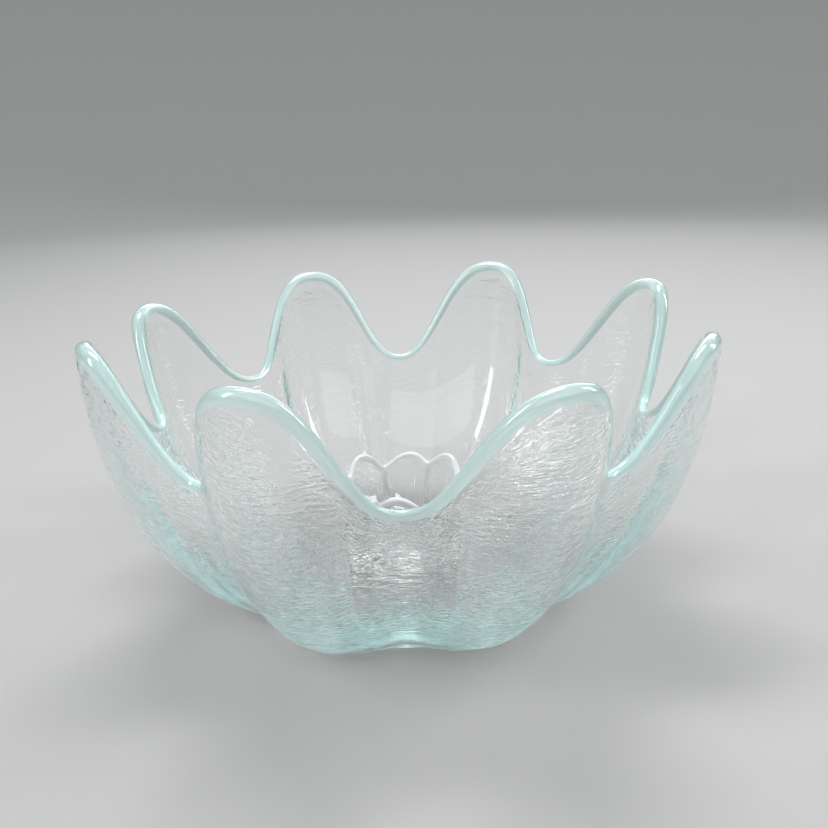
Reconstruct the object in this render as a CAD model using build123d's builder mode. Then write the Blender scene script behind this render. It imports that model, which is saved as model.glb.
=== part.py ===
"""Lotus bowl of thick pressed glass, with a loose fluted candle cup standing on its floor.

Frame: millimetres, +Z up, origin at the centre of the foot, on the surface the bowl stands on.
Eight petals stand round the axis. A valley between two petals lies on each of the X and Y axes,
and the cup is turned half a petal, so that one of its flutes faces each valley.
"""

from build123d import *
import math
import os

os.makedirs("parts", exist_ok=True)

# Bowl
PETALS = 8
TIP_RADIUS = 127.0  # axis to the outside of a petal's tip
TIP_HEIGHT = 121.5
PROFILE_HEIGHT = 136.0  # height at which the petals would stand upright
NOTCH_HEIGHT = 77.0  # top of the rim in the valley between two petals
RIM_FULLNESS = 0.265  # 0 gives a plain cosine rim; more makes tips and notches rounder
FOOT_RADIUS = 57.0  # the flat round foot
BELLY_POWER = 2.6  # how early the wall turns upright
FOOT_POWER = 0.64  # how flat the wall leaves the table
RIM_VALLEY = 18.0  # how far a valley lies inside the petals near the rim
VALLEY_FULL_HEIGHT = 97.0  # from here up a valley has its full depth
VALLEY_POWER = 0.25  # how soon the valleys open above the round foot
VALLEY_SHARPNESS = 1.03  # 1 gives a cosine; more makes broader petals
PETAL_WALL = 7.0
VALLEY_WALL = 4.4
HEEL_WALL = 9.0  # where the wall meets the floor
FLOOR_THICKNESS = 10.0

# Candle cup
FLUTES = 8
CUP_BASE_RADIUS = 23.5
CUP_RIM_RADIUS = 29.8  # at a flute's crest
CUP_FLARE_POWER = 2.0  # how late the cup opens out
CUP_FLUTE_DEPTH = 1.8
CUP_HEIGHT = 40.5
CUP_NOTCH_DROP = 6.5
CUP_WALL = 2.8
CUP_WELL_ROUNDING = 1.3  # how far the well's round heel stands in from its wall
CUP_WELL_POWER = 8.0  # more gives a smaller round heel
CUP_FLOOR_THICKNESS = 4.5
CUP_STANDING_GAP = 0.2  # air left between the cup's ground foot and the bowl's floor

POINTS_PER_LOBE = 8
WALL_SHARES = (0.02, 0.06, 0.13, 0.24, 0.38, 0.54, 0.7, 0.85)


def crest_share(angle):
    """1 on the middle line of a petal, 0 in the valley between two petals."""
    return (1 - math.cos(PETALS * angle)) / 2


def blend(at_zero, at_one, share):
    return at_zero + (at_one - at_zero) * share


def petal_profile(height):
    """Outside radius of a petal's middle line."""
    rise = max(height, 0.0) / PROFILE_HEIGHT
    return FOOT_RADIUS + (TIP_RADIUS - FOOT_RADIUS) * (1 - (1 - rise) ** BELLY_POWER) ** FOOT_POWER


def outer_radius(height, angle):
    rise = min(height / VALLEY_FULL_HEIGHT, 1.0)
    valley = RIM_VALLEY * rise**VALLEY_POWER
    return petal_profile(height) - valley * (1 - crest_share(angle)) ** VALLEY_SHARPNESS


def rim_height(angle):
    swing = 2 * crest_share(angle) - 1
    fuller = swing + RIM_FULLNESS * (swing - swing**3)
    return blend(NOTCH_HEIGHT, TIP_HEIGHT, (1 + fuller) / 2)


def wall_thickness(angle):
    return blend(VALLEY_WALL, PETAL_WALL, crest_share(angle))


def shoulder_height(angle):
    """Height at which the rim's half round begins."""
    return rim_height(angle) - wall_thickness(angle) / 2


def inner_radius(height, angle, share):
    """Inside radius: the outside one less the wall, measured across the sloping wall."""
    step = 0.5
    slope = (petal_profile(height + step) - petal_profile(height - step)) / (2 * step)
    wall = blend(HEEL_WALL, wall_thickness(angle), 1 - (1 - share) ** 3)
    return outer_radius(height, angle) - wall * math.hypot(1, slope * (1 - share))


def closed_curve(radius_and_height, lobes):
    """A closed smooth curve round the axis, through points evenly spaced in angle.

    It starts on the X axis, where every section is symmetric, so it runs straight along Y there.
    """
    count = lobes * POINTS_PER_LOBE
    points = []
    for i in range(count + 1):
        angle = 2 * math.pi * i / count
        radius, height = radius_and_height(angle)
        points.append((radius * math.cos(angle), radius * math.sin(angle), height))
    evenly = [i / count for i in range(count + 1)]
    start_speed = (0, 2 * math.pi * points[0][0], 0)
    curve = Edge.make_spline(points, [start_speed, start_speed], parameters=evenly, scale=False)
    with BuildLine() as line:
        add(curve)
    return line.wire()


def bowl_outside(share):
    def at(angle):
        height = share * shoulder_height(angle)
        return outer_radius(height, angle), height

    return closed_curve(at, PETALS)


def bowl_rim(turn):
    """The rim's half round: turn is 0 on the outside, 180 on the inside."""

    def at(angle):
        half = wall_thickness(angle) / 2
        shoulder = shoulder_height(angle)
        middle = outer_radius(shoulder, angle) - half
        sweep = math.radians(turn)
        return middle + half * math.cos(sweep), shoulder + half * math.sin(sweep)

    return closed_curve(at, PETALS)


def bowl_inside(share):
    def at(angle):
        height = blend(FLOOR_THICKNESS, shoulder_height(angle), share)
        return inner_radius(height, angle, share), height

    return closed_curve(at, PETALS)


def cup_radius(share, angle):
    """Outside radius of the cup, which flares and grows its flutes from a round foot."""
    crest = blend(CUP_BASE_RADIUS, CUP_RIM_RADIUS, share**CUP_FLARE_POWER)
    return crest - CUP_FLUTE_DEPTH * share * crest_share(angle)


def cup_shoulder(angle):
    return CUP_HEIGHT - CUP_NOTCH_DROP * crest_share(angle) - CUP_WALL / 2


def cup_outside(share):
    def at(angle):
        height = share * cup_shoulder(angle)
        return cup_radius(share, angle), cup_base + height

    return closed_curve(at, FLUTES)


def cup_rim(turn):
    def at(angle):
        half = CUP_WALL / 2
        sweep = math.radians(turn)
        radius = cup_radius(1, angle) - half + half * math.cos(sweep)
        return radius, cup_base + cup_shoulder(angle) + half * math.sin(sweep)

    return closed_curve(at, FLUTES)


def cup_inside(share):
    def at(angle):
        height = blend(CUP_FLOOR_THICKNESS, cup_shoulder(angle), share)
        wall = CUP_WALL + CUP_WELL_ROUNDING * (1 - share) ** CUP_WELL_POWER
        return cup_radius(height / cup_shoulder(angle), angle) - wall, cup_base + height

    return closed_curve(at, FLUTES)


def vessel(outside, rim, inside):
    """A glass body from three stretches of skin that share their end curves, and two flat faces."""
    stretches = [Shell.make_loft(rings) for rings in (outside, rim, inside)]
    faces = [face for stretch in stretches for face in stretch.faces()]
    faces.append(Face(outside[0]))
    faces.append(Face(inside[-1]))
    return Solid(Shell(faces))


cup_base = FLOOR_THICKNESS + CUP_STANDING_GAP
rim_turns = (0, 45, 90, 135, 180)
upwards = (0, *WALL_SHARES, 1)
downwards = upwards[::-1]

# The bowl: one glass body, its skin running from the foot up the outside, over the rim and down
# the inside to the flat floor
with BuildPart() as bowl:
    bowl_outer_rings = [bowl_outside(share) for share in upwards]
    bowl_rim_rings = [bowl_rim(turn) for turn in rim_turns]
    bowl_inner_rings = [bowl_inside(share) for share in downwards]
    add(vessel(bowl_outer_rings, bowl_rim_rings, bowl_inner_rings))
bowl.part.label = "bowl"
export_step(bowl.part, "parts/bowl.step")

# The candle cup: a small fluted glass that stands loose on the bowl's floor and lifts out
with BuildPart() as candle_cup:
    cup_outer_rings = [cup_outside(share) for share in upwards]
    cup_rim_rings = [cup_rim(turn) for turn in rim_turns]
    cup_inner_rings = [cup_inside(share) for share in downwards]
    add(vessel(cup_outer_rings, cup_rim_rings, cup_inner_rings))
candle_cup.part.label = "candle_cup"
export_step(candle_cup.part, "parts/candle_cup.step")

for name, piece in (("bowl", bowl.part), ("candle_cup", candle_cup.part)):
    box = piece.bounding_box()
    print(name, piece.is_valid, round(piece.volume / 1000, 1), "cm3", box.size)
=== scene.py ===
"""Lotus bowl of pale aqua pressed glass with a loose fluted candle cup, in a pale studio sweep."""

import math

import bpy
import numpy as np
from mathutils import Matrix, Vector, noise


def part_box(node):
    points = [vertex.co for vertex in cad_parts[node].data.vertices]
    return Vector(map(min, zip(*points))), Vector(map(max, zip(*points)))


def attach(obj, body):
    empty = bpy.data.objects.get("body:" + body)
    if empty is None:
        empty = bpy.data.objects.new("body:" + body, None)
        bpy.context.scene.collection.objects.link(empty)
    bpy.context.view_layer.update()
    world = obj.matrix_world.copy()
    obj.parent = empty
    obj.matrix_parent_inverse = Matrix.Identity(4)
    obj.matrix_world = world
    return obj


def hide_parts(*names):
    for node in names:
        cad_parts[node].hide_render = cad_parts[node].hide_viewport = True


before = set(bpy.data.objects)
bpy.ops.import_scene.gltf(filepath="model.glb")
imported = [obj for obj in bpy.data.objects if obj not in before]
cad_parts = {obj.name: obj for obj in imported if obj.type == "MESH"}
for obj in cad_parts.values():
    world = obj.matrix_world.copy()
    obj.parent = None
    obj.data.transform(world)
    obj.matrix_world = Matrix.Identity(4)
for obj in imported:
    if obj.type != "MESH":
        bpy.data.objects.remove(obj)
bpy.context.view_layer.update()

# The bowl's shape in metres, with the CAD's sizes. The profile is a petal's middle line, and the
# valleys between petals are cut into it.
PETALS = 8
TIP_RADIUS = 0.127
TIP_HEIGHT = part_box("bowl")[1].z
PROFILE_HEIGHT = 0.136
NOTCH_HEIGHT = 0.077
RIM_FULLNESS = 0.265
FOOT_RADIUS = 0.057
BELLY_POWER = 2.6
FOOT_POWER = 0.64
RIM_VALLEY = 0.018
VALLEY_FULL_HEIGHT = 0.097
VALLEY_POWER = 0.25
VALLEY_SHARPNESS = 1.03
PETAL_WALL = 0.0070
VALLEY_WALL = 0.0044
HEEL_WALL = 0.0090
FLOOR_THICKNESS = 0.010

# Where the valleys run out into the round foot, the first 2 mm up
FOOT_SHARE = 0.92  # a valley takes at most this share of the petals' reach past the foot
FOOT_BLEND = 4  # the higher, the sharper the change to the valleys' own depth

# How each petal and valley strays from the regular shape: lifts and leans in millimetres, turns
# in degrees. Both run anticlockwise, the valleys from +X and the petals from just past it.
PETAL_LIFT = (1.9, 1.2, -1.6, -3.1, 1.0, 2.9, 0.3, -2.7)
PETAL_LEAN = (0.7, 0.1, -0.3, -1.1, -2.4, 1.0, 2.2, -0.2)
PETAL_TURN = (-1.4, -1.2, -0.8, 0.8, -0.5, 0.7, 1.8, 0.8)
VALLEY_LIFT = (-1.0, 2.0, 0.0, -1.2, -1.2, 0.0, 1.1, 0.2)
VALLEY_LEAN = (2.6, 3.3, 0.3, 0.7, -1.8, -5.1, -1.1, 1.0)

# The pressed pattern on the outside
LEVEL_SPREAD = 0.157  # how the wall's length gains on its height near the flat foot
RIPPLE_LENGTH = 0.0038  # along the wall's girth
RIPPLE_PITCH = 0.0015  # up the wall
RIPPLE_DEPTH = 0.00017
RIPPLE_SHARE = 0.75
PATCH_SHARE = 0.8
SWELL_SHARE = 0.5
SWELL_SCALE = 0.4
PATCH_SCALE = 45  # per metre, for the patches where the ripples are stronger or weaker
PATCH_PLACE = Vector((3.1, 7.7, 1.3))
SMOOTH_BAND = 0.0030  # under the rim the outside stays smooth
RIM_FADE = 0.004
FOOT_FADE = 0.003
CREASE_OFFSET = math.radians(9.5)  # two soft upright creases, either side of each valley
CREASE_WIDTH = math.radians(1.4)
CREASE_DEPTH = 0.0008
CREASE_FADE = 0.02
CREASE_FOOT_GAP = 0.02
CREASE_RIM_GAP = 0.006

# The candle cup in metres, with its flutes' and grooves' lifts in millimetres and turns in
# degrees, anticlockwise: the flutes from +X and the grooves from just past it
FLUTES = 8
CUP_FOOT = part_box("candle_cup")[0].z
CUP_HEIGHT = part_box("candle_cup")[1].z - CUP_FOOT
CUP_BASE_RADIUS = 0.0235
CUP_RIM_RADIUS = 0.0298
CUP_FLARE_POWER = 2.0
CUP_FLUTE_DEPTH = 0.0018
CUP_NOTCH_DROP = 0.0065
CUP_WALL = 0.0028
CUP_WELL_ROUNDING = 0.0013
CUP_WELL_POWER = 8.0
CUP_FLOOR_THICKNESS = 0.0045
CUP_TURN = math.radians(-4)
FLUTE_LIFT = (0.3, 0.8, -1.2, 0.7, 0.2, -0.3, 0.4, -0.2)
FLUTE_TURN = (0.0, 1.0, -4.0, -1.0, 0.0, 0.5, -0.5, 0.0)
GROOVE_LIFT = (0.5, 2.2, 0.0, 0.7, -0.3, 0.9, 0.2, -0.4)
GROOVE_SOFTNESS = 0.35  # 0 is a sharp groove

# The glass: linear colours, densities and wave scales per metre, and bump depths in metres
GLASS_IOR = 1.51
BOWL_TINT = (0.30, 0.90, 0.86)
BOWL_DENSITY = 3.4
# The rim's colour is painted light: a pale aqua glow, opaque where clearness is below 1, that stands
# in for light caught in the thick edge
BOWL_RIM_PAINTED_GLOW = (0.77, 0.98, 0.95)
BOWL_RIM_CLEARNESS = 0.48
BOWL_RIM_FROST = 0.16
FOOT_FROST = 0.4
FINE_RIPPLES = (300, 300, 800)
FINE_RIPPLE_DEPTH = 0.00032
FINE_PATCHES = (38, 38, 38)
BOWL_SMUDGES = (22, 22, 30)
CUP_TINT = (0.70, 0.90, 0.84)
CUP_DENSITY = 3.0
# The cup's rim and grooves are painted near white: painted highlights standing in for light on the
# rim and down the grooves
CUP_RIM_PAINTED_HIGHLIGHT = (0.97, 0.99, 0.98)
CUP_RIM_CLEARNESS = 0.2
CUP_RIM_STRENGTH = 0.8
CUP_GROOVE_STRENGTH = 0.4
CUP_RIM_FROST = 0.3
CUP_WAVES = (170, 170, 60)
CUP_WAVE_DEPTH = 0.00025
CUP_SMUDGES = (60, 60, 60)

# The camera's place in metres and its angles in degrees
CAMERA_PLACE = (-0.0047, -0.3690, 0.1969)
CAMERA_PITCH = 18.02
CAMERA_ROLL = 1.63
CAMERA_YAW = 1.64
CAMERA_TURN = 1.16  # round the bowl's axis
CAMERA_LENS = 40.0  # millimetres on a 36 mm sensor

# Mesh density
BOWL_COLUMNS = PETALS * 72
BOWL_FOOT_ROWS = 12
BOWL_OUTSIDE_ROWS = 270
BOWL_INSIDE_ROWS = 60
BOWL_FLOOR_ROWS = 14
INSIDE_EASE = 1.3  # brings the inside's rows closer together toward the floor
CUP_COLUMNS = FLUTES * 32
CUP_BASE_ROWS = 7
CUP_ROWS = 48
CUP_FLOOR_ROWS = 8
RIM_STEPS = 12
PROFILE_SAMPLES = 4000
SLOPE_STEP = 0.0005

FOOT_GAP = 0.00015  # air under the bowl's ground foot
LIGHT_BOUNCES = 40  # light trapped in the wall is reflected many times over


def lerp(at_zero, at_one, share):
    return at_zero + (at_one - at_zero) * share


def smooth(value):
    """An eased step from 0 at 0 to 1 at 1."""
    value = np.clip(value, 0, 1)
    return value * value * (3 - 2 * value)


def crest_share(angle):
    """1 on the middle line of a petal, 0 in the valley between two petals."""
    return (1 - np.cos(PETALS * angle)) / 2


def of_petal(values, angle):
    """The value of the petal each angle lies in, fading to nothing at the valleys."""
    index = np.floor(angle * PETALS / (2 * np.pi)).astype(int) % PETALS
    return np.array(values)[index] * crest_share(angle)


def of_valley(values, angle):
    """The value of the valley nearest each angle, fading to nothing on the petals' middle lines."""
    index = np.round(angle * PETALS / (2 * np.pi)).astype(int) % PETALS
    return np.array(values)[index] * (1 - crest_share(angle))


def petal_profile(height):
    """The outer radius on a petal's middle line."""
    rise = np.clip(height, 0, None) / PROFILE_HEIGHT
    return FOOT_RADIUS + (TIP_RADIUS - FOOT_RADIUS) * (1 - (1 - rise) ** BELLY_POWER) ** FOOT_POWER


def valley_depth(height):
    """How far a valley's middle lies inside the petals, which is nothing at the round foot."""
    rise = np.clip(height / VALLEY_FULL_HEIGHT, 0, 1)
    free = RIM_VALLEY * rise**VALLEY_POWER
    reach = FOOT_SHARE * (petal_profile(height) - FOOT_RADIUS)
    return free * reach / np.maximum((free**FOOT_BLEND + reach**FOOT_BLEND) ** (1 / FOOT_BLEND), 1e-9)


def outer_radius(height, angle):
    """The outside's radius, with each petal and valley leaning in or out a little."""
    valley = valley_depth(height)
    lean = (of_petal(PETAL_LEAN, angle) + of_valley(VALLEY_LEAN, angle)) / 1000
    regular = petal_profile(height) - valley * (1 - crest_share(angle)) ** VALLEY_SHARPNESS
    return regular + lean * height / TIP_RADIUS


def rim_height(angle):
    """The height of the rim's top: full round tips and notches between them."""
    swing = 2 * crest_share(angle) - 1
    fuller = swing + RIM_FULLNESS * (swing - swing**3)
    lift = (of_petal(PETAL_LIFT, angle) + of_valley(VALLEY_LIFT, angle)) / 1000
    return lerp(NOTCH_HEIGHT, TIP_HEIGHT, (1 + fuller) / 2) + lift


def wall_thickness(angle):
    return lerp(VALLEY_WALL, PETAL_WALL, crest_share(angle))


def inner_radius(height, angle, share):
    """The inside's radius, where share runs from 0 at the floor to 1 at the rim's shoulder."""
    rise = petal_profile(height + SLOPE_STEP) - petal_profile(height - SLOPE_STEP)
    slope = rise / (2 * SLOPE_STEP)
    wall = lerp(HEEL_WALL, wall_thickness(angle), 1 - (1 - share) ** 3)
    return outer_radius(height, angle) - wall * np.hypot(1, slope * (1 - share))


def ring_points(radius, height, angle):
    """Points of one ring of the bowl, with each petal turned a little round the axis."""
    turned = angle + np.radians(of_petal(PETAL_TURN, angle)) * height / TIP_HEIGHT
    return np.stack([radius * np.cos(turned), radius * np.sin(turned), height + 0 * angle], 1)


def even_shares(rows):
    """Shares of the rim's height that lie evenly spaced along a petal's outside."""
    share = np.linspace(0, 1, PROFILE_SAMPLES) ** 2
    height = share * TIP_HEIGHT
    steps = np.hypot(np.diff(petal_profile(height)), np.diff(height))
    along = np.concatenate([[0], np.cumsum(steps)])
    return np.interp(np.linspace(0, along[-1], rows), along, share)


def round_mesh(name, rings, lowest_centre, highest_centre, girth_length):
    """A closed mesh from rings of points that run from the foot's centre round to the floor's centre.

    Its UV map is in metres: U runs round the girth and V along the profile. Returns the piece
    and each ring's V.
    """
    columns = len(rings[0])
    points = np.concatenate([*rings, [lowest_centre, highest_centre]])
    first_centre = len(rings) * columns
    faces = []
    for row in range(len(rings) - 1):
        for column in range(columns):
            right = (column + 1) % columns
            low, high = row * columns, (row + 1) * columns
            faces.append((low + column, low + right, high + right, high + column))
    last = (len(rings) - 1) * columns
    for column in range(columns):
        right = (column + 1) % columns
        faces.append((first_centre, right, column))
        faces.append((first_centre + 1, last + column, last + right))
    mesh = bpy.data.meshes.new(name)
    mesh.from_pydata(points.tolist(), [], faces)
    mesh.shade_smooth()
    steps = np.linalg.norm(np.diff(np.stack(rings), axis=0), axis=2).mean(1)
    along = np.concatenate([[0], np.cumsum(steps)]) + np.linalg.norm(rings[0][0])
    uv = mesh.uv_layers.new(name="girth_and_profile")
    corners = np.zeros(len(mesh.loops), int)
    mesh.loops.foreach_get("vertex_index", corners)
    row, column = np.divmod(corners, columns)
    row = np.minimum(row, len(rings) - 1)
    starts = np.zeros(len(mesh.polygons), int)
    totals = np.zeros(len(mesh.polygons), int)
    mesh.polygons.foreach_get("loop_start", starts)
    mesh.polygons.foreach_get("loop_total", totals)
    owner = np.repeat(np.arange(len(starts)), totals)
    share = column / columns
    has_last = np.zeros(len(starts), bool)
    np.logical_or.at(has_last, owner, column == columns - 1)
    wraps = has_last[owner] & (column == 0)
    share = np.where(wraps, 1.0, share)
    uv.data.foreach_set("uv", np.stack([share * girth_length, along[row]], 1).ravel())
    piece = bpy.data.objects.new(name, mesh)
    bpy.context.scene.collection.objects.link(piece)
    return piece, along


def ripple_height(point):
    """Height of the outside's ripples at a point: short waves that lie level round the wall."""
    level = point[2] + LEVEL_SPREAD * math.sqrt(max(point[2], 0))
    place = Vector((point[0] / RIPPLE_LENGTH, point[1] / RIPPLE_LENGTH, level / RIPPLE_PITCH))
    patch = noise.noise(Vector(point) * PATCH_SCALE + PATCH_PLACE)
    short = (RIPPLE_SHARE + PATCH_SHARE * patch) * noise.noise(place)
    return short + SWELL_SHARE * noise.noise(place * SWELL_SCALE)


def crease(angle, along, to_rim):
    """The two soft creases beside each valley, which fade toward the foot and the rim."""
    lobe = 2 * np.pi / PETALS
    off = np.abs((angle + lobe / 2) % lobe - lobe / 2)
    groove = np.exp(-(((off - CREASE_OFFSET) / CREASE_WIDTH) ** 2))
    above_foot = smooth((along - CREASE_FOOT_GAP) / CREASE_FADE)
    below_rim = smooth((to_rim - CREASE_RIM_GAP) / CREASE_FADE)
    return -CREASE_DEPTH * groove * above_foot * below_rim


def press_pattern(rings, first, last, angle):
    """Moves the outside's points along its normals by the pressed pattern."""
    grid = np.stack(rings[first - 1 : last + 1])
    up = np.gradient(grid, axis=0)
    around = np.roll(grid, -1, 1) - np.roll(grid, 1, 1)
    normal = np.cross(around, up)
    normal /= np.linalg.norm(normal, axis=2)[:, :, None]
    steps = np.linalg.norm(np.diff(grid, axis=0), axis=2)
    along = np.concatenate([np.zeros((1, grid.shape[1])), np.cumsum(steps, 0)])
    to_rim = along[-1] - along
    fade = smooth((to_rim - SMOOTH_BAND) / RIM_FADE) * smooth(along / FOOT_FADE)
    for row in range(1, len(grid) - 1):
        height = np.array([ripple_height(point) for point in grid[row]])
        height = height * fade[row] * RIPPLE_DEPTH + crease(angle, along[row], to_rim[row])
        rings[first - 1 + row] += normal[row] * height[:, None]


def rolled_rim(middle, half):
    """The rings of a half round that stands square to the rim's own line."""
    out = middle * (1, 1, 0) / np.hypot(middle[:, 0], middle[:, 1])[:, None]
    onward = np.roll(middle, -1, 0) - np.roll(middle, 1, 0)
    up = np.cross(out, onward)
    up /= np.linalg.norm(up, axis=1)[:, None]
    turns = np.linspace(0, np.pi, RIM_STEPS + 1)[1:]
    return [middle + half[:, None] * (out * np.cos(turn) + up * np.sin(turn)) for turn in turns]


def make_bowl():
    """Returns the bowl and the V of its foot's edge and of its rim's outside."""
    angle = np.arange(BOWL_COLUMNS) * 2 * np.pi / BOWL_COLUMNS
    half = wall_thickness(angle) / 2
    shoulder = rim_height(angle) - half
    rings = []
    for share in np.linspace(0, 1, BOWL_FOOT_ROWS)[1:]:
        rings.append(ring_points(FOOT_RADIUS * share, 0, angle))
    foot_edge = len(rings)
    for share in even_shares(BOWL_OUTSIDE_ROWS)[1:]:
        height = shoulder * share
        rings.append(ring_points(outer_radius(height, angle), height, angle))
    rim_edge = len(rings)
    rings += rolled_rim(ring_points(outer_radius(shoulder, angle) - half, shoulder, angle), half)
    for step in np.linspace(1, 0, BOWL_INSIDE_ROWS)[1:]:
        share = step**INSIDE_EASE
        height = lerp(FLOOR_THICKNESS, shoulder, share)
        rings.append(ring_points(inner_radius(height, angle, share), height, angle))
    heel = rings[-1]
    for share in np.linspace(1, 0, BOWL_FLOOR_ROWS)[1:-1]:
        rings.append(heel * (share, share, 1))
    press_pattern(rings, foot_edge, rim_edge, angle)
    girth = 2 * np.pi * TIP_RADIUS
    piece, along = round_mesh("lotus_bowl", rings, (0, 0, 0), (0, 0, FLOOR_THICKNESS), girth)
    return piece, along[foot_edge - 1], along[rim_edge - 1]


def flute_share(angle):
    """1 on a flute's crest, 0 in the groove between two."""
    wave = np.hypot(np.cos(FLUTES * angle / 2), GROOVE_SOFTNESS)
    return (wave - GROOVE_SOFTNESS) / (math.hypot(1, GROOVE_SOFTNESS) - GROOVE_SOFTNESS)


def of_flute(values, angle):
    """The value of the flute nearest each angle, fading to nothing in the grooves."""
    index = np.round(angle * FLUTES / (2 * np.pi)).astype(int) % FLUTES
    return np.array(values)[index] * flute_share(angle)


def of_groove(values, angle):
    """The value of the groove nearest each angle, fading to nothing on the flutes' crests."""
    index = np.floor(angle * FLUTES / (2 * np.pi)).astype(int) % FLUTES
    return np.array(values)[index] * (1 - flute_share(angle))


def cup_radius(share, angle):
    """The cup's outer radius, where share runs from 0 at its base to 1 at the rim's shoulder."""
    crest = lerp(CUP_BASE_RADIUS, CUP_RIM_RADIUS, share**CUP_FLARE_POWER)
    return crest - CUP_FLUTE_DEPTH * share * (1 - flute_share(angle))


def cup_ring(radius, height, angle):
    """Points of one ring of the cup, with each flute turned a little round the axis."""
    turned = angle + CUP_TURN + np.radians(of_flute(FLUTE_TURN, angle)) * height / CUP_HEIGHT
    level = CUP_FOOT + height + 0 * angle
    return np.stack([radius * np.cos(turned), radius * np.sin(turned), level], 1)


def make_cup():
    """Returns the cup and the V of its rim's outside."""
    angle = np.arange(CUP_COLUMNS) * 2 * np.pi / CUP_COLUMNS
    half = CUP_WALL / 2
    lift = (of_flute(FLUTE_LIFT, angle) + of_groove(GROOVE_LIFT, angle)) / 1000
    shoulder = CUP_HEIGHT - CUP_NOTCH_DROP * (1 - flute_share(angle)) - half + lift
    rings = []
    for share in np.linspace(0, 1, CUP_BASE_ROWS)[1:]:
        rings.append(cup_ring(CUP_BASE_RADIUS * share, 0, angle))
    for share in np.linspace(0, 1, CUP_ROWS)[1:]:
        rings.append(cup_ring(cup_radius(share, angle), share * shoulder, angle))
    rim_edge = len(rings)
    middle = cup_ring(cup_radius(1, angle) - half, shoulder, angle)
    rings += rolled_rim(middle, np.full(CUP_COLUMNS, half))
    for share in np.linspace(1, 0, CUP_ROWS)[1:]:
        height = lerp(CUP_FLOOR_THICKNESS, shoulder, share)
        wall = CUP_WALL + CUP_WELL_ROUNDING * (1 - share) ** CUP_WELL_POWER
        rings.append(cup_ring(cup_radius(height / shoulder, angle) - wall, height, angle))
    well = rings[-1]
    for share in np.linspace(1, 0, CUP_FLOOR_ROWS)[1:-1]:
        rings.append(well * (share, share, 1))
    floor = (0, 0, CUP_FOOT + CUP_FLOOR_THICKNESS)
    girth = 2 * np.pi * CUP_RIM_RADIUS
    piece, along = round_mesh("fluted_cup", rings, (0, 0, CUP_FOOT), floor, girth)
    return piece, along[rim_edge - 1]


class Nodes:
    """Short ways to add and link the nodes of one material."""

    def __init__(self, name):
        self.material = bpy.data.materials.new(name)
        self.material.use_nodes = True
        self.nodes = self.material.node_tree.nodes
        self.links = self.material.node_tree.links
        self.shader = self.nodes["Principled BSDF"]

    def link(self, source, target):
        self.links.new(source, target)

    def add(self, kind, **values):
        node = self.nodes.new(kind)
        for name, value in values.items():
            node.inputs[name.replace("_", " ")].default_value = value
        return node

    def math(self, operation, first, second):
        node = self.nodes.new("ShaderNodeMath")
        node.operation = operation
        for socket, value in zip(node.inputs, (first, second)):
            if isinstance(value, (int, float)):
                socket.default_value = value
            else:
                self.link(value, socket)
        return node.outputs[0]

    def span(self, value, from_range, to_range):
        """A smooth step of value over from_range, giving to_range."""
        node = self.nodes.new("ShaderNodeMapRange")
        node.interpolation_type = "SMOOTHSTEP"
        self.link(value, node.inputs["Value"])
        for name, end in zip(("From Min", "From Max"), from_range):
            node.inputs[name].default_value = end
        for name, end in zip(("To Min", "To Max"), to_range):
            node.inputs[name].default_value = end
        return node.outputs[0]

    def colour(self, factor, at_zero, at_one):
        node = self.nodes.new("ShaderNodeMix")
        node.data_type = "RGBA"
        self.link(factor, node.inputs["Factor"])
        node.inputs["A"].default_value = (*at_zero, 1)
        node.inputs["B"].default_value = (*at_one, 1)
        return node.outputs["Result"]

    def waves(self, vector, scale, detail):
        """Noise stretched by the three numbers of scale."""
        stretch = self.add("ShaderNodeMapping", Scale=scale)
        self.link(vector, stretch.inputs["Vector"])
        node = self.add("ShaderNodeTexNoise", Scale=1.0, Detail=detail)
        self.link(stretch.outputs[0], node.inputs["Vector"])
        return node.outputs["Fac"]

    def clear_glass(self, colour, density):
        """Glass that colours the light by how far it runs through it."""
        self.shader.inputs["IOR"].default_value = GLASS_IOR
        absorption = self.nodes.new("ShaderNodeVolumeAbsorption")
        absorption.inputs["Color"].default_value = (*colour, 1)
        absorption.inputs["Density"].default_value = density
        self.link(absorption.outputs[0], self.nodes["Material Output"].inputs["Volume"])

    def bump(self, height, depth):
        node = self.add("ShaderNodeBump", Strength=1.0, Distance=depth)
        self.link(height, node.inputs["Height"])
        self.link(node.outputs[0], self.shader.inputs["Normal"])


def paint_rim_light(glass, rim, colour, clearness):
    """Where rim is 1 the glass gets painted light: a pale opaque colour that stands in for the light
    caught in its edge, under a real clear gloss.
    """
    glass.link(glass.colour(rim, (1, 1, 1), colour), glass.shader.inputs["Base Color"])
    clear = glass.span(rim, (0, 1), (1, clearness))
    glass.link(clear, glass.shader.inputs["Transmission Weight"])
    glass.link(rim, glass.shader.inputs["Coat Weight"])
    glass.shader.inputs["Coat Roughness"].default_value = 0.03


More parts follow.
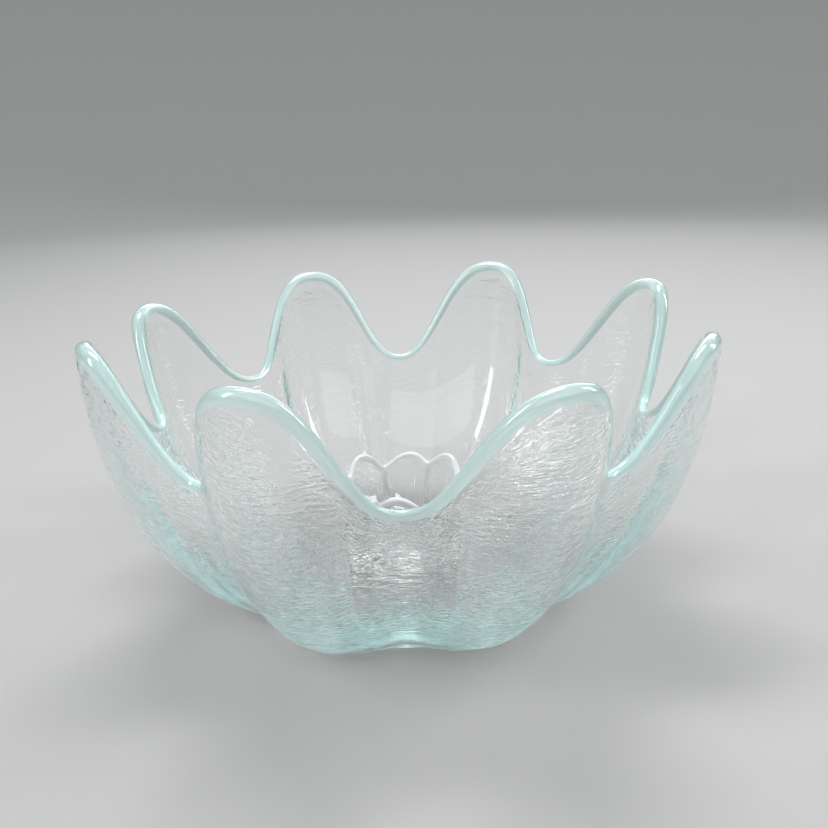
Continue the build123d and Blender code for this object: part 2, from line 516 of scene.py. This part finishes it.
def pressed_glass(foot_edge, rim_edge):
    """Aqua glass: rippled outside, ground foot, polished inside, and a polished rim with a painted
    glow.

    The masks are spans of the profile's length in metres, from the UV map's V.
    """
    glass = Nodes("aqua_pressed_glass")
    glass.clear_glass(BOWL_TINT, BOWL_DENSITY)
    place = glass.nodes.new("ShaderNodeTexCoord")
    uv = glass.nodes.new("ShaderNodeSeparateXYZ")
    glass.link(place.outputs["UV"], uv.inputs[0])
    spot = glass.nodes.new("ShaderNodeSeparateXYZ")
    glass.link(place.outputs["Object"], spot.inputs[0])
    profile = uv.outputs["Y"]
    root = glass.math("POWER", glass.math("MAXIMUM", spot.outputs["Z"], 0), 0.5)
    length = glass.math("ADD", spot.outputs["Z"], glass.math("MULTIPLY", root, LEVEL_SPREAD))
    level = glass.nodes.new("ShaderNodeCombineXYZ")
    glass.link(spot.outputs["X"], level.inputs["X"])
    glass.link(spot.outputs["Y"], level.inputs["Y"])
    glass.link(length, level.inputs["Z"])
    above_foot = glass.span(profile, (foot_edge, foot_edge + 0.003), (0, 1))
    below_rim = glass.span(profile, (rim_edge - 0.005, rim_edge - 0.002), (1, 0))
    outside = glass.math("MULTIPLY", above_foot, below_rim)
    # The rim band carries a painted glow, a pale colour standing in for light caught in the edge,
    # with a real clear coat and slight frost
    rim_from = glass.span(profile, (rim_edge - 0.002, rim_edge - 0.0005), (0, 1))
    rim_to = glass.span(profile, (rim_edge + 0.006, rim_edge + 0.013), (1, 0))
    rim = glass.math("MULTIPLY", rim_from, rim_to)
    fine = glass.waves(level.outputs[0], FINE_RIPPLES, 1.5)
    patches = glass.waves(place.outputs["Object"], FINE_PATCHES, 1.0)
    strength = glass.span(patches, (0.35, 0.65), (0.7, 1.1))
    ripples = glass.math("MULTIPLY", fine, glass.math("MULTIPLY", outside, strength))
    glass.bump(ripples, FINE_RIPPLE_DEPTH)
    ground_from = glass.span(profile, (foot_edge - 0.006, foot_edge - 0.005), (0, 1))
    ground_to = glass.span(profile, (foot_edge + 0.001, foot_edge + 0.002), (1, 0))
    ground = glass.math("MULTIPLY", ground_from, ground_to)
    # Painted glow on the rim band, under a clear coat
    paint_rim_light(glass, rim, BOWL_RIM_PAINTED_GLOW, BOWL_RIM_CLEARNESS)
    rim_frost = glass.math("MULTIPLY", rim, BOWL_RIM_FROST)
    frost = glass.math("MAXIMUM", rim_frost, glass.math("MULTIPLY", ground, FOOT_FROST))
    smudges = glass.waves(place.outputs["Object"], BOWL_SMUDGES, 4.0)
    polished = glass.span(smudges, (0.4, 0.75), (0.0, 0.035))
    pressed = glass.math("MULTIPLY", outside, glass.span(fine, (0.3, 0.7), (0.03, 0.09)))
    roughness = glass.math("ADD", glass.math("ADD", polished, pressed), frost)
    glass.link(roughness, glass.shader.inputs["Roughness"])
    return glass.material


def cup_glass(rim_edge):
    """Clear glass with painted white highlights on the rim and down the grooves, placed along the
    profile as the bowl's are.
    """
    glass = Nodes("clear_cup_glass")
    glass.clear_glass(CUP_TINT, CUP_DENSITY)
    place = glass.nodes.new("ShaderNodeTexCoord")
    uv = glass.nodes.new("ShaderNodeSeparateXYZ")
    glass.link(place.outputs["UV"], uv.inputs[0])
    profile = uv.outputs["Y"]
    rim_from = glass.span(profile, (rim_edge - 0.003, rim_edge - 0.001), (0, 1))
    rim_to = glass.span(profile, (rim_edge + 0.0045, rim_edge + 0.0075), (1, 0))
    flutes = glass.math("MULTIPLY", uv.outputs["X"], FLUTES / CUP_RIM_RADIUS)
    # Painted highlight down each groove, fading out near the base and at the rim
    groove = glass.span(glass.math("COSINE", flutes, 0), (-1.0, -0.8), (CUP_GROOVE_STRENGTH, 0))
    above_base = glass.span(profile, (CUP_BASE_RADIUS + 0.008, CUP_BASE_RADIUS + 0.02), (0, 1))
    below_rim = glass.span(profile, (rim_edge, rim_edge + 0.001), (1, 0))
    groove = glass.math("MULTIPLY", groove, glass.math("MULTIPLY", above_base, below_rim))
    # Painted highlight round the rim; the grooves' painted highlight joins it
    rim = glass.math("MULTIPLY", glass.math("MULTIPLY", rim_from, rim_to), CUP_RIM_STRENGTH)
    rim = glass.math("MAXIMUM", rim, groove)
    paint_rim_light(glass, rim, CUP_RIM_PAINTED_HIGHLIGHT, CUP_RIM_CLEARNESS)
    waves = glass.waves(place.outputs["Object"], CUP_WAVES, 1.0)
    glass.bump(waves, CUP_WAVE_DEPTH)
    smudges = glass.waves(place.outputs["Object"], CUP_SMUDGES, 3.0)
    polished = glass.span(smudges, (0.4, 0.75), (0.0, 0.04))
    roughness = glass.math("ADD", polished, glass.math("MULTIPLY", rim, CUP_RIM_FROST))
    glass.link(roughness, glass.shader.inputs["Roughness"])
    return glass.material


def make_sweep():
    """A round studio sweep: a level floor that curves up into a low wall all round."""
    floor_radius, curve, wall_height = 1.5, 0.9, 1.3
    curve_rows, columns = 25, 96
    profile = [(0.0, 0.0), (floor_radius, 0.0)]
    for turn in np.linspace(0, np.pi / 2, curve_rows)[1:]:
        profile.append((floor_radius + curve * math.sin(turn), curve * (1 - math.cos(turn))))
    profile.append((floor_radius + curve, wall_height))
    points, faces = [(0.0, 0.0, -FOOT_GAP)], []
    for radius, height in profile[1:]:
        for column in range(columns):
            angle = 2 * math.pi * column / columns
            points.append((radius * math.cos(angle), radius * math.sin(angle), height - FOOT_GAP))
    for column in range(columns):
        faces.append((0, 1 + column, 1 + (column + 1) % columns))
    for row in range(len(profile) - 2):
        for column in range(columns):
            right = (column + 1) % columns
            low, high = 1 + row * columns, 1 + (row + 1) * columns
            faces.append((low + column, high + column, high + right, low + right))
    mesh = bpy.data.meshes.new("studio_sweep")
    mesh.from_pydata(points, [], faces)
    mesh.shade_smooth()
    sweep = bpy.data.objects.new("studio_sweep", mesh)
    bpy.context.scene.collection.objects.link(sweep)
    material = bpy.data.materials.new("pale_paper")
    material.use_nodes = True
    shader = material.node_tree.nodes["Principled BSDF"]
    shader.inputs["Base Color"].default_value = (0.46, 0.46, 0.45, 1)
    shader.inputs["Roughness"].default_value = 0.7
    mesh.materials.append(material)
    return sweep


def softbox(name, place, target, width, depth, power):
    light = bpy.data.lights.new(name, "AREA")
    light.shape = "RECTANGLE"
    light.size, light.size_y = width, depth
    light.energy = power
    holder = bpy.data.objects.new(name, light)
    bpy.context.scene.collection.objects.link(holder)
    holder.location = place
    holder.rotation_euler = (Vector(target) - Vector(place)).to_track_quat("-Z", "Y").to_euler()


def make_lights():
    world = bpy.data.worlds.new("studio")
    world.use_nodes = True
    background = world.node_tree.nodes["Background"]
    background.inputs["Color"].default_value = (0.93, 0.96, 1.0, 1)
    background.inputs["Strength"].default_value = 0.62
    bpy.context.scene.world = world
    centre = (0, 0, 0.06)
    softbox("top_softbox", (-0.1, 0.35, 1.2), centre, 0.6, 0.3, 6)
    softbox("front_softbox", (0.25, -1.3, 1.1), centre, 2.0, 1.0, 6)
    softbox("left_softbox", (-1.0, -0.45, 0.8), centre, 0.2, 0.8, 5)
    softbox("right_softbox", (1.0, 0.1, 0.7), centre, 0.18, 0.7, 4)
    softbox("back_softbox", (0.2, 1.2, 0.75), centre, 1.5, 0.7, 5)


def make_camera():
    lens = bpy.data.cameras.new("camera")
    lens.sensor_width = 36
    lens.lens = CAMERA_LENS
    lens.clip_start = 0.01
    camera = bpy.data.objects.new("camera", lens)
    bpy.context.scene.collection.objects.link(camera)
    angles = (CAMERA_PITCH, CAMERA_ROLL, CAMERA_YAW, CAMERA_TURN)
    pitch, roll, yaw, turn = (math.radians(angle) for angle in angles)
    place = Matrix.Rotation(turn, 4, "Z") @ Matrix.Translation(CAMERA_PLACE)
    look = Matrix.Rotation(-yaw, 4, "Z") @ Matrix.Rotation(math.pi / 2 - pitch, 4, "X")
    camera.matrix_world = place @ look @ Matrix.Rotation(-roll, 4, "Z")
    bpy.context.scene.camera = camera


make_camera()
bowl, bowl_foot_edge, bowl_rim_edge = make_bowl()
bowl.data.materials.append(pressed_glass(bowl_foot_edge, bowl_rim_edge))
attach(bowl, "bowl")
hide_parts("bowl")

cup, cup_rim_edge = make_cup()
cup.data.materials.append(cup_glass(cup_rim_edge))
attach(cup, "candle_cup")
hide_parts("candle_cup")

make_sweep()
make_lights()
bpy.context.scene.view_settings.view_transform = "Standard"
cycles = bpy.context.scene.cycles
cycles.max_bounces = LIGHT_BOUNCES
cycles.transmission_bounces = LIGHT_BOUNCES
cycles.glossy_bounces = LIGHT_BOUNCES
